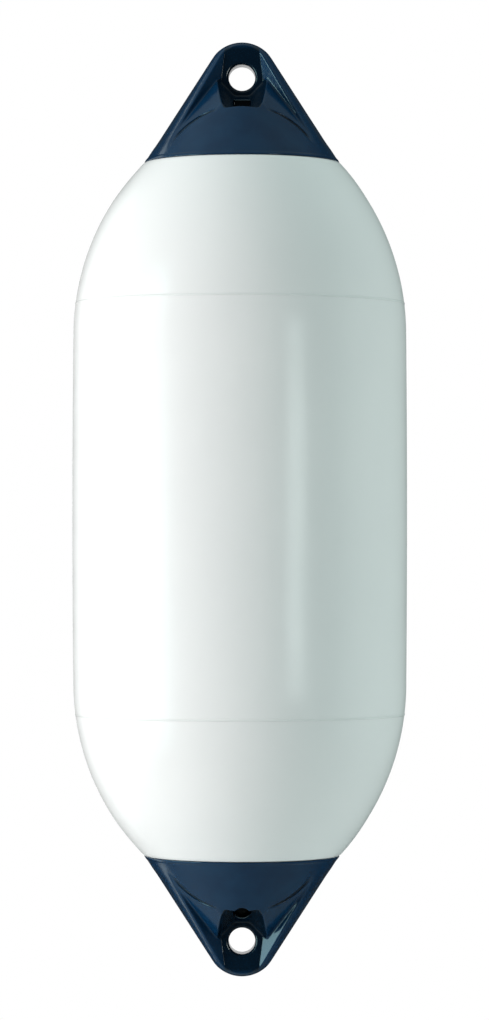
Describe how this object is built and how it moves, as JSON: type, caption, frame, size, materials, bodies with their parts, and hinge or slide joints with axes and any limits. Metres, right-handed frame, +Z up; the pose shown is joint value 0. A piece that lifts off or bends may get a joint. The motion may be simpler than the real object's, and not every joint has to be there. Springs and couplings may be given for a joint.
{
  "type": "boat fender",
  "caption": "Inflatable cylindrical boat fender with a tapered rope hold and rope eye at each end and an air valve in the lower hold.",
  "frame": {"origin": "middle of the fender, on its long axis", "axes": "+Z up along the fender's long axis to the upper eye; -Y is the front, the side that the valve faces; +X is to the right as seen from the front"},
  "size_m": [0.2204, 0.2204, 0.6148],
  "materials": {
    "white_vinyl": "glossy soft vinyl",
    "navy_vinyl": "glossy vinyl",
    "valve_rubber": "moulded rubber",
    "valve_plastic": "moulded"
  },
  "bodies": {
    "root": {"body": "white_vinyl", "rope_hold_top": "navy_vinyl", "rope_hold_bottom": "navy_vinyl", "valve_seat": "valve_rubber", "valve_screw": "valve_plastic"}
  },
  "joints": []
}
